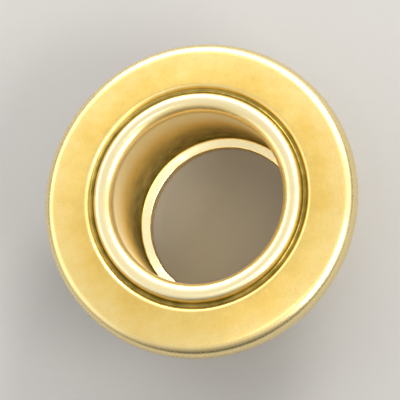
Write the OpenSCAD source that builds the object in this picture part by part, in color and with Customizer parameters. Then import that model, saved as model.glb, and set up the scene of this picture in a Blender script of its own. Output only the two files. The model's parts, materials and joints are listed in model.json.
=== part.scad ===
// Grommet eyelet: one piece drawn from thin brass sheet, before it is set.
// The part stands on the end of its barrel, with its axis along +Z and the flange on top.
// One closed section, turned about the axis, gives the whole piece.

/* [Main sizes] */
// Diameter across the flange
flange_d = 9.3; // [8.6:0.1:12]
// Outside diameter of the barrel, a little under the 6.0 mm hole that it goes into
barrel_d = 5.7; // [5.2:0.1:6.2]
// Height from the end of the barrel to the crest of the bead
height = 4.0; // [3.4:0.1:8]
// Thickness of the sheet
sheet_t = 0.32; // [0.2:0.02:0.36]

/* [Bead and groove] */
// Width of the bead's top, from the bore to its outer slope
bead_w = 0.5; // [0.44:0.02:0.64]
// Radius of the bead on its bore side, where the mouth of the bore begins
mouth_r = 0.34; // [0.1:0.02:0.36]
// Radius of the bead on its outer side
bead_r = 0.22; // [0.1:0.02:0.34]
// Distance from the bead's outer slope to the bottom of the groove, measured across
bead_slope = 0.14; // [0.08:0.02:0.24]
// Depth of the groove below the crest of the bead
groove_depth = 0.3; // [0.2:0.02:0.36]
// Radius at the bottom of the groove
groove_r = 0.08; // [0.04:0.01:0.14]

/* [Flange] */
// Distance from the bottom of the groove to the shoulder of the band, measured across
shoulder_slope = 0.17; // [0.1:0.01:0.26]
// Depth of the shoulder below the crest of the bead
shoulder_drop = 0.13; // [0.06:0.01:0.18]
// Radius of the shoulder
shoulder_r = 0.16; // [0.06:0.02:0.3]
// Fall of the band from its shoulder to the rim
band_fall = 0.2; // [0:0.02:0.3]
// Radius over which the flange turns down at its rim
rim_r = 0.4; // [0.2:0.02:0.5]
// Height of the turned-down rim
rim_h = 0.5; // [0.44:0.02:0.8]
// Radius on the two lower edges of the rim
rim_edge_r = 0.07; // [0.02:0.01:0.09]
// Radius under the flange, where it leaves the barrel
root_r = 0.18; // [0.05:0.01:0.3]

/* [Barrel end] */
// Width of the lip that the end of the barrel turns in, from the bore to the pierced hole
lip_w = 0.3; // [0.26:0.02:0.6]
// Slope of the lip down towards the pierced hole, in degrees
lip_angle = 18; // [2:1:24]
// Outside radius of the bend between the barrel and the lip
end_r = 0.42; // [0.34:0.02:0.6]
// Width of the flat ring round the pierced hole, on which the eyelet stands
stand_w = 0.12; // [0.08:0.01:0.16]
// Radius on the upper edge of the pierced hole
lip_r = 0.06; // [0.03:0.01:0.1]
// Radius on the lower edge of the pierced hole
lip_edge_r = 0.03; // [0.01:0.01:0.05]

/* [Fineness] */
// Turn of the section's round stretches from one point to the next, in degrees
arc_step = 9; // [3:1:15]
// Sides of the turned form
turn_sides = 180; // [48:12:360]

/* [Hidden] */
BRASS = [0.88, 0.70, 0.33];

// How much of a straight stretch its two fillets may take together
fillet_room = 0.98;

bore_radius = barrel_d / 2 - sheet_t;
barrel_radius = barrel_d / 2;
flange_radius = flange_d / 2;
end_hole_radius = bore_radius - lip_w;
stand_radius = end_hole_radius + stand_w;

bead_out = bore_radius + bead_w;
groove_out = bead_out + bead_slope;
shoulder_out = groove_out + shoulder_slope;

groove_z = height - groove_depth;
shoulder_z = height - shoulder_drop;
rim_top_z = shoulder_z - band_fall;
rim_z = rim_top_z - rim_h;

// Height of the band's face at a distance from the axis
function band_z(out) = shoulder_z - band_fall * (out - shoulder_out) / (flange_radius - shoulder_out);

// Height of the lip's lower and upper faces at a distance from the axis
function lip_under_z(out) = (out - stand_radius) * tan(lip_angle);
function lip_z(out) = lip_under_z(out) + sheet_t / cos(lip_angle);

// Inside of a bend whose outside radius is given, and never sharp
function inside_bend(outside_r) = max(outside_r - sheet_t, lip_edge_r);

// Corners of the section, anticlockwise: distance from the axis, height, fillet radius
corners = [
    // The ring that the eyelet stands on, the turned-in end and the outside of the barrel
    [end_hole_radius, 0, lip_edge_r],
    [stand_radius, 0, lip_edge_r],
    [barrel_radius, lip_under_z(barrel_radius), end_r],
    [barrel_radius, groove_z - sheet_t, root_r],
    // The underside of the flange, one sheet below its face
    [groove_out, groove_z - sheet_t, shoulder_r],
    [shoulder_out, shoulder_z - sheet_t, shoulder_r],
    [flange_radius - sheet_t, band_z(flange_radius - sheet_t) - sheet_t, inside_bend(rim_r)],
    // The rim
    [flange_radius - sheet_t, rim_z, rim_edge_r],
    [flange_radius, rim_z, rim_edge_r],
    [flange_radius, rim_top_z, rim_r],
    // The band, the groove and the bead
    [shoulder_out, shoulder_z, shoulder_r],
    [groove_out, groove_z, groove_r],
    [bead_out, height, bead_r],
    [bore_radius, height, mouth_r],
    // The bore and the lip round the pierced hole
    [bore_radius, lip_z(bore_radius), inside_bend(end_r)],
    [end_hole_radius, lip_z(end_hole_radius), lip_r]
];
last = len(corners) - 1;

function before(i) = i == 0 ? last : i - 1;
function after(i) = i == last ? 0 : i + 1;
function point(i) = [corners[i][0], corners[i][1]];
function side(i) = norm(point(after(i)) - point(i));
function heading(from, to) = (point(to) - point(from)) / norm(point(to) - point(from));

// Half of the angle between the two straight stretches that meet at a corner
function half_angle(i) = acos(heading(i, before(i)) * heading(i, after(i))) / 2;

// How far a corner's full fillet reaches along each stretch
function reach(i) = corners[i][2] / tan(half_angle(i));

// Share of the full fillets that the stretch after a corner has room for
function fitting(i) = min(1, fillet_room * side(i) / (reach(i) + reach(after(i))));
function fillet(i) = corners[i][2] * min(fitting(before(i)), fitting(i));

// The fillet of one corner as points along its arc
function rounded(i) =
    let(
        to_before = heading(i, before(i)),
        to_after = heading(i, after(i)),
        middle = (to_before + to_after) / norm(to_before + to_after),
        centre = point(i) + middle * fillet(i) / sin(half_angle(i)),
        start = point(i) + to_before * fillet(i) / tan(half_angle(i)) - centre,
        turn = sign(cross(to_after, to_before)) * (180 - 2 * half_angle(i)),
        steps = ceil(abs(turn) / arc_step)
    )
    [for (k = [0:steps])
        let(a = turn * k / steps)
        centre + [start[0] * cos(a) - start[1] * sin(a), start[0] * sin(a) + start[1] * cos(a)]];

module eyelet() {
    color(BRASS)
        rotate_extrude($fn = turn_sides)
            polygon([for (i = [0:last]) each rounded(i)]);
}

eyelet();
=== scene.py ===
"""Brass grommet eyelet, dressed for a close studio picture.

The eyelet is one turned mesh on the section of its solid, with the marks that drawing, piercing and
polishing leave on thin sheet. The stage is a pale floor, soft studio light and a camera that looks
down into the mouth. Lengths are in metres, in the frame of the solid.
"""

import json
import math

import bmesh
import bpy
from mathutils import Matrix, Vector, noise


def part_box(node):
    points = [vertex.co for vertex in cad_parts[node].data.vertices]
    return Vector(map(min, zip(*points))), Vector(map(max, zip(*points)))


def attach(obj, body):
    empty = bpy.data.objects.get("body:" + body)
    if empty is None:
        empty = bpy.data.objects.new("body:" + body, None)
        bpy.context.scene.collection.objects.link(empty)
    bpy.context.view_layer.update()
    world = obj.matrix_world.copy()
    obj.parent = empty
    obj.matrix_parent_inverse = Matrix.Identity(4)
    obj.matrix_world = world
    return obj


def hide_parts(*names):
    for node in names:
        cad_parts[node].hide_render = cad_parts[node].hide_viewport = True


bl_info = {
    "name": "Brass grommet eyelet",
    "version": (1, 0, 0),
    "blender": (4, 5, 0),
    "location": "3D View > Sidebar > Eyelet",
    "description": "Makes a drawn and polished brass eyelet and the studio that it is shown in",
    "category": "Object",
}

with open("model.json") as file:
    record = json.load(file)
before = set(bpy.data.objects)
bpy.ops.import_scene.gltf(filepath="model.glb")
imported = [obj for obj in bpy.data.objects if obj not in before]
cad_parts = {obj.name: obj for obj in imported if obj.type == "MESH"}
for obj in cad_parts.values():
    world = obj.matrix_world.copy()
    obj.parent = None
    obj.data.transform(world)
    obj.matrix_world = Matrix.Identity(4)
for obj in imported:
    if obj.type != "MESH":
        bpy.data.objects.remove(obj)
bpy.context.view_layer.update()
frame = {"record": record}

MM = 0.001
NODE = "eyelet"
BODY = "root"

node_low, node_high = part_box(NODE)


def mount_diameter(name):
    """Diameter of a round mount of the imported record, in metres."""
    for mount in frame["record"]["mounts"]:
        if mount["name"] == name:
            return 2 * mount["dims"]["r_mm"] * MM
    raise KeyError(f"the record has no mount named {name}")


def srgb(code):
    """An sRGB hex colour, such as #E3B866, as linear red, green and blue."""
    parts = [int(code[i:i + 2], 16) / 255 for i in (1, 3, 5)]
    return [c / 12.92 if c <= 0.04045 else ((c + 0.055) / 1.055) ** 2.4 for c in parts]


# Property makers, so that each size and colour takes one line

def length(name, description, default):
    return bpy.props.FloatProperty(
        name=name,
        description=description,
        default=default,
        min=0,
        precision=6,
        unit="LENGTH",
        subtype="DISTANCE",
    )


def angle(name, description, degrees):
    return bpy.props.FloatProperty(
        name=name,
        description=description,
        default=math.radians(degrees),
        unit="ROTATION",
        subtype="ANGLE",
    )


def share(name, description, default):
    return bpy.props.FloatProperty(
        name=name, description=description, default=default, min=0, subtype="FACTOR"
    )


def number(name, description, default, lowest, highest):
    return bpy.props.IntProperty(
        name=name, description=description, default=default, min=lowest, max=highest
    )


def colour(name, description, code):
    return bpy.props.FloatVectorProperty(
        name=name, description=description, default=srgb(code), size=3, min=0, max=1, subtype="COLOR"
    )


class EyeletSizes(bpy.types.PropertyGroup):
    """Sizes of the eyelet's section. The main ones come from the solid."""

    flange_d: length("Flange", "Diameter across the flange", node_high.x - node_low.x)
    barrel_d: length("Barrel", "Outside diameter of the barrel", mount_diameter("barrel"))
    bore_d: length("Bore", "Diameter of the bore", mount_diameter("bore"))
    end_hole_d: length("End hole", "Diameter of the pierced hole", mount_diameter("end_hole"))
    height: length("Height", "From the barrel's end to the crest of the bead", node_high.z - node_low.z)
    bead_w: length("Bead width", "Width of the bead's top", 0.5 * MM)
    mouth_r: length("Mouth radius", "Radius of the bead on its bore side", 0.34 * MM)
    bead_r: length("Bead radius", "Radius of the bead on its outer side", 0.22 * MM)
    bead_slope: length("Bead slope", "From the bead to the bottom of the groove, across", 0.14 * MM)
    groove_depth: length("Groove depth", "Depth of the groove below the crest", 0.3 * MM)
    groove_r: length("Groove radius", "Radius at the bottom of the groove", 0.08 * MM)
    shoulder_slope: length("Shoulder slope", "From the groove to the shoulder, across", 0.17 * MM)
    shoulder_drop: length("Shoulder drop", "Depth of the shoulder below the crest", 0.13 * MM)
    shoulder_r: length("Shoulder radius", "Radius of the shoulder", 0.16 * MM)
    band_fall: length("Band fall", "Fall of the band from shoulder to rim", 0.2 * MM)
    rim_r: length("Rim radius", "Radius over which the flange turns down", 0.4 * MM)
    rim_h: length("Rim height", "Height of the turned-down rim", 0.5 * MM)
    rim_edge_r: length("Rim edge", "Radius on the rim's lower edges", 0.07 * MM)
    root_r: length("Root radius", "Radius where the flange leaves the barrel", 0.18 * MM)
    lip_angle: angle("Lip slope", "Slope of the turned-in end", 18)
    end_r: length("End radius", "Outside radius of the bend at the barrel's end", 0.42 * MM)
    stand_w: length("Standing ring", "Width of the flat ring round the pierced hole", 0.12 * MM)
    lip_r: length("Lip radius", "Radius on the upper edge of the pierced hole", 0.06 * MM)
    lip_edge_r: length("Lip edge", "Radius on the lower edge of the pierced hole", 0.03 * MM)
    arc_step: angle("Arc step", "Turn from one point of a bend to the next", 5)
    gap: length("Point spacing", "Longest stretch of the section without a point", 0.13 * MM)
    sides: number("Sides", "Sides of the turned form", 300, 24, 400)


class EyeletMarks(bpy.types.PropertyGroup):
    """How far the press, the punch and the tumbling barrel leave the piece from a true turned form."""

    flange_warp: length("Flange warp", "How far the flange's rim dips", 0.010 * MM)
    swell: length("Swell", "Height of the broad unevenness of the pressed face", 0.004 * MM)
    swell_size: length("Swell size", "Size of that unevenness", 0.9 * MM)
    draw_ring: length("Draw ring", "Height of the rings that drawing leaves on the barrel", 0.0007 * MM)
    draw_ring_gap: length("Draw ring gap", "From one such ring to the next", 0.34 * MM)
    draw_ring_drift: length("Draw ring drift", "Length over which those rings wander", 3 * MM)
    pierced_tear: length("Pierced edge", "Unevenness of the edge of the pierced hole", 0.010 * MM)
    tear_size: length("Tear size", "Size of that unevenness", 0.21 * MM)
    proud: length("Proud", "How far the marks may stand out of the true form", 0.002 * MM)
    dent_depth: length("Dent depth", "Depth of the small dents of tumbling", 0.006 * MM)
    dent_size: length("Dent size", "Radius of those dents", 0.24 * MM)
    dents: number("Dents", "How many such dents", 26, 0, 200)


class EyeletFinish(bpy.types.PropertyGroup):
    """Colours, gloss and surface grain of the brass."""

    bright: colour("Bright brass", "Brass that tumbling has rubbed clean, as on the bead", "#F2E2B2")
    brass: colour("Brass", "Brass under a thin even film, on the flange's face", "#E3C573")
    warm: colour("Warm brass", "Patches where that film is thicker", "#DFBB63")
    # Dark olive brown that paints shade in the groove, under the flange and towards the bottom of the
    # bore
    painted_shade: colour("Tarnish", "Darker film left in the groove and deep in the bore", "#6C5F26")
    thin_film: share("Thin film", "Film on the flange's face, as a share of the groove's", 0.35)
    gloss: share("Roughness", "Roughness of the polished faces", 0.17)
    dull: share("Dull roughness", "Roughness down the bore, where tumbling doesn't reach", 0.66)
    patch_size: length("Patch size", "Size of the warmer patches", 1.5 * MM)
    film_grain: length("Film grain", "Size of the finer unevenness of the film", 0.4 * MM)
    hairline_w: length("Hairline width", "Width of the fine scratches of tumbling", 0.03 * MM)
    hairline_gap: length("Hairline spacing", "Distance from one scratch to the next", 0.05 * MM)
    hairline_l: length("Hairline length", "Length of those scratches", 0.12 * MM)
    streak_w: length("Streak width", "Width of the streaks that punch and die leave", 0.05 * MM)
    streak_l: length("Streak length", "Length of those streaks, along the axis", 1.6 * MM)
    peel_size: length("Orange peel", "Size of the orange peel of drawn sheet", 0.12 * MM)
    hairline_rise: length("Hairline rise", "Height of the scratches' bump", 0.0004 * MM)
    streak_rise: length("Streak rise", "Height of the streaks' bump", 0.0010 * MM)
    peel_rise: length("Orange peel rise", "Height of the orange peel's bump", 0.0012 * MM)


class StageSettings(bpy.types.PropertyGroup):
    """The floor, the light and the camera."""

    floor: colour("Floor", "Pale matt floor", "#989693")
    floor_width: length("Floor width", "Side of the floor", 1.2)
    fibre: length("Fibre", "Size of the paper's fibres", 0.35 * MM)
    fibre_rise: length("Fibre rise", "Height of those fibres", 0.01 * MM)
    view_tilt: angle("View tilt", "Angle between the view and the eyelet's axis", 18)
    view_turn: angle("View turn", "Side from which the camera looks in, seen from above", -43)
    view_distance: length("View distance", "From the camera to the flange", 0.4)
    view_field: length("Field", "Width of the picture at the flange", 0.0116)
    sky: share("Sky", "Strength of the studio's even light", 1.0)
    top_turn: angle("Top side", "Side on which the light from above is a little stronger", 45)
    far_turn: angle("Far side", "Side on which the ring of light at middle height is bright", 100)
    panel_turn: angle("Panel side", "Side on which one of the low panels stands", 90)


def corners_of(size):
    """Corners of the section, anticlockwise.

    Each row holds the distance from the axis, the height and the fillet radius, then the share of film
    and painted shade on the bend, at the start and at the end of the straight stretch after it, and how
    dull that stretch is. Tumbling rubs the film off what stands proud. The high shares paint shade:
    olive brown in the groove, under the flange and at its root, and darker towards the bottom of the
    bore.
    """
    bore = size.bore_d / 2
    barrel = size.barrel_d / 2
    flange = size.flange_d / 2
    end_hole = size.end_hole_d / 2
    sheet = barrel - bore
    stand = end_hole + size.stand_w
    bead = bore + size.bead_w
    groove = bead + size.bead_slope
    shoulder = groove + size.shoulder_slope
    groove_z = size.height - size.groove_depth
    shoulder_z = size.height - size.shoulder_drop
    rim_top_z = shoulder_z - size.band_fall
    rim_z = rim_top_z - size.rim_h

    def band_z(out):
        return shoulder_z - size.band_fall * (out - shoulder) / (flange - shoulder)

    def lip_under_z(out):
        return (out - stand) * math.tan(size.lip_angle)

    def lip_z(out):
        return lip_under_z(out) + sheet / math.cos(size.lip_angle)

    def inside_bend(outside_r):
        return max(outside_r - sheet, size.lip_edge_r)

    return [
        (end_hole, 0, size.lip_edge_r, 0.2, 0.2, 0.2, 0.2),
        (stand, 0, size.lip_edge_r, 0.2, 0.2, 0.2, 0.2),
        # Up the barrel and under the flange the share rises: painted shade beneath the flange and at its
        # root
        (barrel, lip_under_z(barrel), size.end_r, 0.1, 0.15, 0.4, 0.05),
        (barrel, groove_z - sheet, size.root_r, 0.8, 0.7, 0.6, 0.6),
        (groove, groove_z - sheet, size.shoulder_r, 0.6, 0.6, 0.6, 0.6),
        (shoulder, shoulder_z - sheet, size.shoulder_r, 0.6, 0.5, 0.6, 0.6),
        (flange - sheet, band_z(flange - sheet) - sheet, inside_bend(size.rim_r), 0.8, 0.5, 0.3, 0.5),
        (flange - sheet, rim_z, size.rim_edge_r, 0.2, 0.1, 0.1, 0.1),
        (flange, rim_z, size.rim_edge_r, 0.1, 0.1, 0.1, 0.1),
        (flange, rim_top_z, size.rim_r, 0.12, 0.3, 0.4, 0.2),
        # From the shoulder into the groove the share rises to the full: painted shade in the groove
        (shoulder, shoulder_z, size.shoulder_r, 0.25, 0.4, 0.7, 0.4),
        (groove, groove_z, size.groove_r, 1, 1, 0.4, 0.4),
        (bead, size.height, size.bead_r, 0, 0, 0, 0),
        # Down the bore the share rises to the full: painted shade, darker towards the bottom
        (bore, size.height, size.mouth_r, 0.28, 0, 1, 1),
        (bore, lip_z(bore), inside_bend(size.end_r), 1, 0, 0, 0.1),
        (end_hole, lip_z(end_hole), size.lip_r, 0, 0.2, 0.2, 0.1),
    ]


def fillet_points(before, corner, after, radius, step):
    """Points along the arc that rounds one corner."""
    to_before = (before - corner).normalized()
    to_after = (after - corner).normalized()
    half = math.acos(to_before.dot(to_after)) / 2
    centre = corner + (to_before + to_after).normalized() * (radius / math.sin(half))
    start = corner + to_before * (radius / math.tan(half)) - centre
    side = math.copysign(1, to_after.x * to_before.y - to_after.y * to_before.x)
    turn = side * (math.pi - 2 * half)
    steps = math.ceil(abs(turn) / step)
    return [centre + Matrix.Rotation(turn * k / steps, 2) @ start for k in range(steps + 1)]


def between(first, second, along):
    return first + (second - first) * along


def section_of(size):
    """The closed section as (point, share of film and painted shade, dullness), with its straights
    divided.

    Round a bend, that share and the dullness go over from one straight stretch to the next.
    """
    corners = corners_of(size)
    places = [Vector(corner[:2]) for corner in corners]
    following = [*range(1, len(corners)), 0]
    bends = [
        fillet_points(places[i - 1], places[i], places[following[i]], corners[i][2], size.arc_step)
        for i in range(len(corners))
    ]
    section = []
    for i, (*_, bend_film_and_shade, start_film_and_shade, end_film_and_shade, dull) in enumerate(corners):
        *_, film_and_shade_before, dull_before = corners[i - 1]
        for k, point in enumerate(bends[i]):
            along = k / (len(bends[i]) - 1)
            if along < 0.5:
                film_and_shade = between(film_and_shade_before, bend_film_and_shade, 2 * along)
            else:
                film_and_shade = between(bend_film_and_shade, start_film_and_shade, 2 * along - 1)
            section.append((point, film_and_shade, between(dull_before, dull, along * along)))
        start, end = bends[i][-1], bends[following[i]][0]
        parts = math.ceil((end - start).length / size.gap)
        for k in range(1, parts):
            along = k / parts
            grown = along * along * (3 - 2 * along)
            section.append((start.lerp(end, along), between(start_film_and_shade, end_film_and_shade, grown), dull))
    return section


# Steps that spread the dents evenly: round the axis, out from the barrel and up from the floor
GOLDEN_ANGLE = math.pi * (3 - math.sqrt(5))
OUT_STEP = 0.618
UP_STEP = 0.381
LOWEST_DENT = 0.25


def dent_places(marks, size):
    """Centres of the small dents over the outside. Every third one lies on the flange's face."""
    barrel = size.barrel_d / 2
    overhang = size.flange_d / 2 - barrel
    places = []
    for k in range(marks.dents):
        out = barrel + overhang * (k * OUT_STEP % 1)
        up = size.height
        if k % 3:
            up *= between(LOWEST_DENT, 1, k * UP_STEP % 1)
        around = k * GOLDEN_ANGLE % (2 * math.pi)
        places.append(Vector((out * math.cos(around), out * math.sin(around), up)))
    return places


# How the flange's warp lies round the axis, in radians
WARP_TURN = 0.6
WARP_LEAN = 0.4

# How far the draw rings wander, in radians of one ring
RING_DRIFT = 0.5

# Points this much outside the barrel's or the hole's radius still count as on it
BARREL_REACH = 1.02
HOLE_REACH = 1.03


def worked(point, normal, marks, size, dents):
    """A point of the true form, moved as the work on the sheet has moved it."""
    out = math.hypot(point.x, point.y)
    around = math.atan2(point.y, point.x)
    barrel = size.barrel_d / 2
    overhang = max(0, (out - barrel) / (size.flange_d / 2 - barrel))
    saddle = math.sin(2 * around + WARP_TURN) * math.sin(around - WARP_LEAN)
    moved = point.copy()
    moved.z -= marks.flange_warp * overhang * (1 + saddle) / 2
    push = marks.swell * noise.noise(point / marks.swell_size)
    below_flange = point.z < size.height - 2 * size.groove_depth
    if below_flange and out < barrel * BARREL_REACH:
        drift = RING_DRIFT * noise.noise(point / marks.draw_ring_drift)
        push += marks.draw_ring * math.sin(2 * math.pi * point.z / marks.draw_ring_gap + drift)
    if out < size.end_hole_d / 2 * HOLE_REACH:
        push += marks.pierced_tear * (noise.noise(point / marks.tear_size) - 0.5)
    for dent in dents:
        near = (point - dent).length / marks.dent_size
        if near < 1:
            push -= marks.dent_depth * (1 - near * near) ** 2
    placed = moved + normal * min(push, marks.proud)
    placed.z = max(placed.z, 0)
    return placed


def turned_mesh(name, size, marks):
    """The section turned about the axis, with the marks of working on it."""
    section = section_of(size)
    dents = dent_places(marks, size)
    count = len(section)
    mesh = bpy.data.meshes.new(name)
    form = bmesh.new()
    # Per point, the share of film and painted shade; its high values paint shade in the groove, under
    # the flange and down the bore
    film_and_shade = form.verts.layers.float.new("film_and_shade")
    dull = form.verts.layers.float.new("dull")
    rings = []
    for side in range(size.sides):
        around = 2 * math.pi * side / size.sides
        facing = Vector((math.cos(around), math.sin(around), 0))
        ring = []
        for i, (point, gathered_film_and_shade, dullness) in enumerate(section):
            along = section[(i + 1) % count][0] - section[i - 1][0]
            normal = (facing * along.y - Vector((0, 0, along.x))).normalized()
            place = facing * point.x + Vector((0, 0, point.y))
            vert = form.verts.new(worked(place, normal, marks, size, dents))
            vert[film_and_shade] = gathered_film_and_shade
            vert[dull] = dullness
            ring.append(vert)
        rings.append(ring)
    for side in range(size.sides):
        ring, following = rings[side], rings[(side + 1) % size.sides]
        for i in range(count):
            j = (i + 1) % count
            form.faces.new((ring[i], following[i], following[j], ring[j])).smooth = True
    bmesh.ops.recalc_face_normals(form, faces=form.faces)
    form.to_mesh(mesh)
    form.free()
    return mesh


def add_node(tree, kind, settings=None, links=None):
    """Adds one shader node, with its properties or socket values, and what its sockets take."""
    node = tree.nodes.new(kind)
    for key, value in (settings or {}).items():
        if isinstance(key, int) or key in node.inputs:
            node.inputs[key].default_value = value
        else:
            setattr(node, key, value)
    for key, socket in (links or {}).items():
        tree.links.new(socket, node.inputs[key])
    return node


def new_material(name):
    material = bpy.data.materials.new(name)
    material.use_nodes = True
    material.node_tree.nodes.clear()
    return material, material.node_tree


# The colour sockets of a mix node, which share their names with its other sockets
MIX_FIRST = 6
MIX_SECOND = 7
MIX_RESULT = 2

# How the hairlines lie askew to the three axes, in radians
HAIRLINE_TURN = (0.4, 0.9, 0.6)


def polished_brass(finish):
    """Drawn brass sheet, tumbled to a soft polish.

    It gives the eye clear but slightly softened reflections, warmer where a thin film has grown, and
    duller down the bore, where the polish doesn't reach. Painted shade darkens it to olive brown in the
    groove, under the flange and towards the bottom of the bore.
    """
    material, tree = new_material("brass_tumble_polished")
    place = add_node(tree, "ShaderNodeTexCoord").outputs["Object"]
    in_mm = add_node(
        tree, "ShaderNodeVectorMath", {"operation": "SCALE", "Scale": 1 / MM}, {0: place}
    ).outputs["Vector"]

    # Thin film on the flange's face, a little thicker in patches
    patches = add_node(
        tree,
        "ShaderNodeTexNoise",
        {"Scale": MM / finish.patch_size, "Detail": 3, "Roughness": 0.55},
        {"Vector": in_mm},
    ).outputs["Fac"]
    patch_share = add_node(
        tree,
        "ShaderNodeMapRange",
        {"From Min": 0.35, "From Max": 0.7, "To Min": 0, "To Max": 1},
        {"Value": patches},
    ).outputs["Result"]
    filmed = add_node(
        tree,
        "ShaderNodeMix",
        {"data_type": "RGBA", MIX_FIRST: (*finish.brass, 1), MIX_SECOND: (*finish.warm, 1)},
        {"Factor": patch_share},
    ).outputs[MIX_RESULT]

    # How much film and painted shade there is: none on the bead and the lip, a thin film on the flange's
    # face, and painted shade in the groove, under the flange and deep in the bore
    gathered_film_and_shade = add_node(tree, "ShaderNodeAttribute", {"attribute_name": "film_and_shade"}).outputs["Fac"]
    uneven = add_node(
        tree,
        "ShaderNodeTexNoise",
        {"Scale": MM / finish.film_grain, "Detail": 4, "Roughness": 0.6},
        {"Vector": in_mm},
    ).outputs["Fac"]
    uneven_share = add_node(
        tree,
        "ShaderNodeMapRange",
        {"From Min": 0.25, "From Max": 0.75, "To Min": 0.8, "To Max": 1.1},
        {"Value": uneven},
    ).outputs["Result"]
    film_and_shade = add_node(
        tree,
        "ShaderNodeMath",
        {"operation": "MULTIPLY", "use_clamp": True},
        {0: gathered_film_and_shade, 1: uneven_share},
    ).outputs["Value"]
    thin_share = add_node(
        tree,
        "ShaderNodeMapRange",
        {"From Min": 0, "From Max": finish.thin_film, "To Min": 0, "To Max": 1},
        {"Value": film_and_shade},
    ).outputs["Result"]
    # Past the thin film's share the colour goes over to painted shade, a dark olive brown
    shade_share = add_node(
        tree,
        "ShaderNodeMapRange",
        {"From Min": finish.thin_film, "From Max": 1, "To Min": 0, "To Max": 1},
        {"Value": film_and_shade},
    ).outputs["Result"]
    lightly_filmed = add_node(
        tree,
        "ShaderNodeMix",
        {"data_type": "RGBA", MIX_FIRST: (*finish.bright, 1)},
        {"Factor": thin_share, MIX_SECOND: filmed},
    ).outputs[MIX_RESULT]
    tinted = add_node(
        tree,
        "ShaderNodeMix",
        {"data_type": "RGBA", MIX_SECOND: (*finish.painted_shade, 1)},
        {"Factor": shade_share, MIX_FIRST: lightly_filmed},
    ).outputs[MIX_RESULT]

    # Tumbling leaves hairlines askew to the axis, drawn wider than real ones so that they show
    stretched = add_node(
        tree,
        "ShaderNodeMapping",
        {
            "Rotation": HAIRLINE_TURN,
            "Scale": (MM / finish.hairline_w, MM / finish.hairline_l, MM / finish.hairline_gap),
        },
        {"Vector": in_mm},
    ).outputs["Vector"]
    hairlines = add_node(
        tree, "ShaderNodeTexNoise", {"Scale": 1, "Detail": 2, "Roughness": 0.5}, {"Vector": stretched}
    ).outputs["Fac"]
    worn = add_node(
        tree,
        "ShaderNodeMapRange",
        {"From Min": 0.3, "From Max": 0.8, "To Min": finish.gloss, "To Max": finish.gloss * 1.5},
        {"Value": hairlines},
    ).outputs["Result"]
    unpolished = add_node(tree, "ShaderNodeAttribute", {"attribute_name": "dull"}).outputs["Fac"]
    roughness = add_node(
        tree, "ShaderNodeMix", {"data_type": "FLOAT", 3: finish.dull}, {0: unpolished, 2: worn}
    ).outputs[0]

    # The punch and the die draw streaks along the axis
    along_axis = add_node(
        tree,
        "ShaderNodeMapping",
        {"Scale": (MM / finish.streak_w, MM / finish.streak_w, MM / finish.streak_l)},
        {"Vector": in_mm},
    ).outputs["Vector"]
    streaks = add_node(
        tree, "ShaderNodeTexNoise", {"Scale": 1, "Detail": 3, "Roughness": 0.6}, {"Vector": along_axis}
    ).outputs["Fac"]
    streak_bump = add_node(
        tree, "ShaderNodeBump", {"Strength": 0.5, "Distance": finish.streak_rise}, {"Height": streaks}
    ).outputs["Normal"]

    # Orange peel of drawn sheet, with the hairlines over it
    peel = add_node(
        tree,
        "ShaderNodeTexNoise",
        {"Scale": MM / finish.peel_size, "Detail": 2, "Roughness": 0.5},
        {"Vector": in_mm},
    ).outputs["Fac"]
    peel_bump = add_node(
        tree,
        "ShaderNodeBump",
        {"Strength": 0.5, "Distance": finish.peel_rise},
        {"Height": peel, "Normal": streak_bump},
    ).outputs["Normal"]
    bump = add_node(
        tree,
        "ShaderNodeBump",
        {"Strength": 0.4, "Distance": finish.hairline_rise},
        {"Height": hairlines, "Normal": peel_bump},
    ).outputs["Normal"]

    metal = add_node(
        tree,
        "ShaderNodeBsdfPrincipled",
        {"Metallic": 1.0},
        {"Base Color": tinted, "Roughness": roughness, "Normal": bump},
    )
    add_node(tree, "ShaderNodeOutputMaterial", links={"Surface": metal.outputs["BSDF"]})
    return material


def matt_paper(name, stage):
    """Uncoated studio paper, pale and quite matt.

    It gives the eye an even ground. Its fibres are drawn coarser than real ones, and still hardly show.
    """
    material, tree = new_material(name)
    place = add_node(tree, "ShaderNodeTexCoord").outputs["Object"]
    fibres = add_node(
        tree,
        "ShaderNodeTexNoise",
        {"Scale": 1 / stage.fibre, "Detail": 4, "Roughness": 0.6},
        {"Vector": place},
    ).outputs["Fac"]
    tone = add_node(
        tree,
        "ShaderNodeMapRange",
        {"From Min": 0.3, "From Max": 0.7, "To Min": 0.985, "To Max": 1.0},
        {"Value": fibres},
    ).outputs["Result"]
    tinted = add_node(
        tree, "ShaderNodeVectorMath", {"operation": "SCALE", 0: tuple(stage.floor)}, {"Scale": tone}
    ).outputs["Vector"]
    bump = add_node(
        tree, "ShaderNodeBump", {"Strength": 0.3, "Distance": stage.fibre_rise}, {"Height": fibres}
    ).outputs["Normal"]
    paper = add_node(
        tree,
        "ShaderNodeBsdfPrincipled",
        {"Roughness": 0.9, "Specular IOR Level": 0.2},
        {"Base Color": tinted, "Normal": bump},
    )
    add_node(tree, "ShaderNodeOutputMaterial", links={"Surface": paper.outputs["BSDF"]})
    return material


def show(thing):
    bpy.context.scene.collection.objects.link(thing)
    return thing


def make_floor(stage):
    half = stage.floor_width / 2
    edges = [(-half, -half, 0), (half, -half, 0), (half, half, 0), (-half, half, 0)]
    mesh = bpy.data.meshes.new("floor")
    mesh.from_pydata(edges, [], [(0, 1, 2, 3)])
    mesh.materials.append(matt_paper("studio_paper_matt", stage))
    show(bpy.data.objects.new("floor", mesh))


def outwards(turn, tilt):
    """Direction from the eyelet at an angle round its axis and an angle off the zenith."""
    across = math.sin(tilt)
    return Vector((across * math.cos(turn), across * math.sin(turn), math.cos(tilt)))


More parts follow.
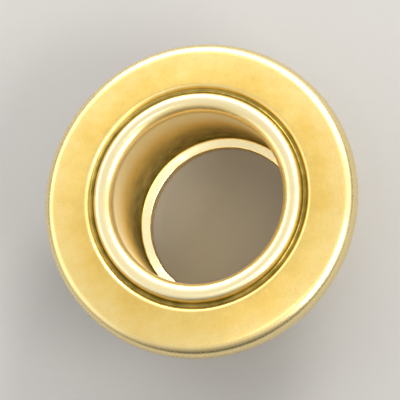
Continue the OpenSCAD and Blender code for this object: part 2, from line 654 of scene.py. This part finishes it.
def place_facing(thing, target, direction, distance, up):
    """Puts a camera or light at a distance from its target and turns it there, with up at its top."""
    right = up.cross(direction).normalized()
    thing.location = target + direction * distance
    thing.rotation_mode = "QUATERNION"
    axes = Matrix((right, direction.cross(right), direction)).transposed()
    thing.rotation_quaternion = axes.to_quaternion()


# The soft panels: name, angle round the axis and angle off the zenith in degrees, distance, width and
# depth in metres, brightness of the panel's face, and colour
SOFTBOXES = (
    ("key", 60, 57, 0.34, 0.12, 0.09, 28.0, "#FFFDFA"),
    ("near", -26, 50, 0.36, 0.20, 0.14, 11.0, "#FFFEFA"),
    ("over", -74, 14, 0.46, 0.08, 0.06, 6.0, "#FFFFFF"),
    ("far", 110, 73, 0.38, 0.24, 0.10, 9.0, "#FFFFFF"),
)


def make_lights(target):
    for name, turn, tilt, distance, width, depth, brightness, tint in SOFTBOXES:
        light = bpy.data.lights.new(name, "AREA")
        light.shape = "RECTANGLE"
        light.size = width
        light.size_y = depth
        light.energy = brightness * math.pi * width * depth
        light.color = srgb(tint)
        box = show(bpy.data.objects.new(name, light))
        direction = outwards(math.radians(turn), math.radians(tilt))
        place_facing(box, target, direction, distance, Vector((0, 0, 1)))
        box.visible_camera = False


# The tent's brightness by height, which is 0 at the horizon and 1 overhead, with a ring at middle height
SKY_LEVELS = ((0.0, 0.5), (0.18, 1.1), (0.36, 2.4), (0.58, 2.3), (0.74, 1.1), (1.0, 0.97))

# How many bright panels stand round the tent low down
LOW_PANELS = 3


def make_sky(stage):
    """A studio tent: even light from above, with a ring at middle height and panels low down."""
    world = bpy.data.worlds.new("studio_tent")
    world.use_nodes = True
    tree = world.node_tree
    tree.nodes.clear()
    direction = add_node(tree, "ShaderNodeTexCoord").outputs["Generated"]
    parts = add_node(tree, "ShaderNodeSeparateXYZ", links={"Vector": direction}).outputs
    ramp = add_node(tree, "ShaderNodeValToRGB", links={"Fac": parts["Z"]})
    elements = ramp.color_ramp.elements
    while len(elements) < len(SKY_LEVELS):
        elements.new(0.5)
    for element, (height, level) in zip(elements, SKY_LEVELS):
        element.position = height
        element.color = (level, level, level, 1)

    # From above, a little more light comes from one side
    stronger = (math.cos(stage.top_turn), math.sin(stage.top_turn), 0)
    towards_stronger = add_node(
        tree, "ShaderNodeVectorMath", {"operation": "DOT_PRODUCT", 1: stronger}, {0: direction}
    ).outputs["Value"]
    top_gain = add_node(
        tree,
        "ShaderNodeMapRange",
        {"From Min": -1, "From Max": 1, "To Min": 0.84, "To Max": 1.16},
        {"Value": towards_stronger},
    ).outputs["Result"]

    # The ring at middle height is bright on its far side and dim on the camera's side
    far = (math.cos(stage.far_turn), math.sin(stage.far_turn), 0)
    towards_far = add_node(
        tree, "ShaderNodeVectorMath", {"operation": "DOT_PRODUCT", 1: far}, {0: direction}
    ).outputs["Value"]
    ring_gain = add_node(
        tree,
        "ShaderNodeMapRange",
        {"From Min": -0.7, "From Max": 0.7, "To Min": 0.2, "To Max": 1.4},
        {"Value": towards_far},
    ).outputs["Result"]
    above_ring = add_node(
        tree,
        "ShaderNodeMapRange",
        {"From Min": 0.6, "From Max": 0.8, "To Min": 0, "To Max": 1},
        {"Value": parts["Z"]},
    ).outputs["Result"]
    side_gain = add_node(
        tree, "ShaderNodeMix", {"data_type": "FLOAT"}, {0: above_ring, 2: ring_gain, 3: top_gain}
    ).outputs[0]

    # Low down, the tent's bright panels stand apart with dark gaps between them
    around = add_node(
        tree, "ShaderNodeMath", {"operation": "ARCTAN2"}, {0: parts["Y"], 1: parts["X"]}
    ).outputs["Value"]
    turned = add_node(
        tree,
        "ShaderNodeMath",
        {"operation": "MULTIPLY_ADD", 1: LOW_PANELS, 2: -LOW_PANELS * stage.panel_turn},
        {0: around},
    ).outputs["Value"]
    wave = add_node(tree, "ShaderNodeMath", {"operation": "COSINE"}, {0: turned}).outputs["Value"]
    panels = add_node(
        tree,
        "ShaderNodeMapRange",
        {"From Min": -0.5, "From Max": 0.5, "To Min": 0.3, "To Max": 1.1},
        {"Value": wave},
    ).outputs["Result"]
    above_panels = add_node(
        tree,
        "ShaderNodeMapRange",
        {"From Min": 0.2, "From Max": 0.45, "To Min": 0, "To Max": 1},
        {"Value": parts["Z"]},
    ).outputs["Result"]
    low_gain = add_node(
        tree, "ShaderNodeMix", {"data_type": "FLOAT", 3: 1.0}, {0: above_panels, 2: panels}
    ).outputs[0]

    gain = add_node(
        tree, "ShaderNodeMath", {"operation": "MULTIPLY"}, {0: side_gain, 1: low_gain}
    ).outputs["Value"]
    shaped = add_node(
        tree, "ShaderNodeVectorMath", {"operation": "SCALE"}, {0: ramp.outputs["Color"], "Scale": gain}
    ).outputs["Vector"]
    back = add_node(tree, "ShaderNodeBackground", {"Strength": stage.sky}, {"Color": shaped})
    add_node(tree, "ShaderNodeOutputWorld", links={"Surface": back.outputs["Background"]})
    bpy.context.scene.world = world


def make_camera(stage, target):
    """A long lens, so that the picture is nearly without perspective."""
    view = bpy.data.cameras.new("camera")
    view.lens = view.sensor_width * stage.view_distance / stage.view_field
    view.clip_start = stage.view_distance / 10
    view.clip_end = 10 * stage.floor_width
    camera = show(bpy.data.objects.new("camera", view))
    direction = outwards(stage.view_turn, stage.view_tilt)
    place_facing(camera, target, direction, stage.view_distance, Vector((0, 1, 0)))
    bpy.context.scene.camera = camera


class EYELET_OT_make_eyelet(bpy.types.Operator):
    """Make the brass eyelet in place of its plain solid"""

    bl_idname = "eyelet.make_eyelet"
    bl_label = "Make eyelet"

    def execute(self, context):
        scene = context.scene
        mesh = turned_mesh("drawn_eyelet", scene.eyelet_sizes, scene.eyelet_marks)
        mesh.materials.append(polished_brass(scene.eyelet_finish))
        piece = show(bpy.data.objects.new("drawn_eyelet", mesh))
        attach(piece, BODY)
        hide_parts(NODE)
        return {"FINISHED"}


class EYELET_OT_make_stage(bpy.types.Operator):
    """Make the floor, the studio light and the camera"""

    bl_idname = "eyelet.make_stage"
    bl_label = "Make stage"

    def execute(self, context):
        stage = context.scene.eyelet_stage
        target = Vector((0, 0, node_high.z - context.scene.eyelet_sizes.rim_h))
        make_floor(stage)
        make_sky(stage)
        make_lights(target)
        make_camera(stage, target)
        context.scene.view_settings.view_transform = "Standard"
        return {"FINISHED"}


class EYELET_PT_sidebar(bpy.types.Panel):
    """Lists the sizes, the finish and the stage, and makes them"""

    bl_label = "Brass eyelet"
    bl_space_type = "VIEW_3D"
    bl_region_type = "UI"
    bl_category = "Eyelet"

    def draw(self, context):
        scene = context.scene
        for heading, group, operator in (
            ("Sizes", scene.eyelet_sizes, None),
            ("Marks", scene.eyelet_marks, None),
            ("Finish", scene.eyelet_finish, EYELET_OT_make_eyelet),
            ("Stage", scene.eyelet_stage, EYELET_OT_make_stage),
        ):
            box = self.layout.box()
            box.label(text=heading)
            for name in type(group).__annotations__:
                box.prop(group, name)
            if operator:
                box.operator(operator.bl_idname)


CLASSES = (
    EyeletSizes,
    EyeletMarks,
    EyeletFinish,
    StageSettings,
    EYELET_OT_make_eyelet,
    EYELET_OT_make_stage,
    EYELET_PT_sidebar,
)
GROUPS = {
    "eyelet_sizes": EyeletSizes,
    "eyelet_marks": EyeletMarks,
    "eyelet_finish": EyeletFinish,
    "eyelet_stage": StageSettings,
}


def register():
    for kind in CLASSES:
        bpy.utils.register_class(kind)
    for name, group in GROUPS.items():
        setattr(bpy.types.Scene, name, bpy.props.PointerProperty(type=group))


def unregister():
    for name in GROUPS:
        delattr(bpy.types.Scene, name)
    for kind in reversed(CLASSES):
        bpy.utils.unregister_class(kind)


def main():
    register()
    bpy.ops.eyelet.make_eyelet()
    bpy.ops.eyelet.make_stage()


if __name__ == "__main__":
    main()
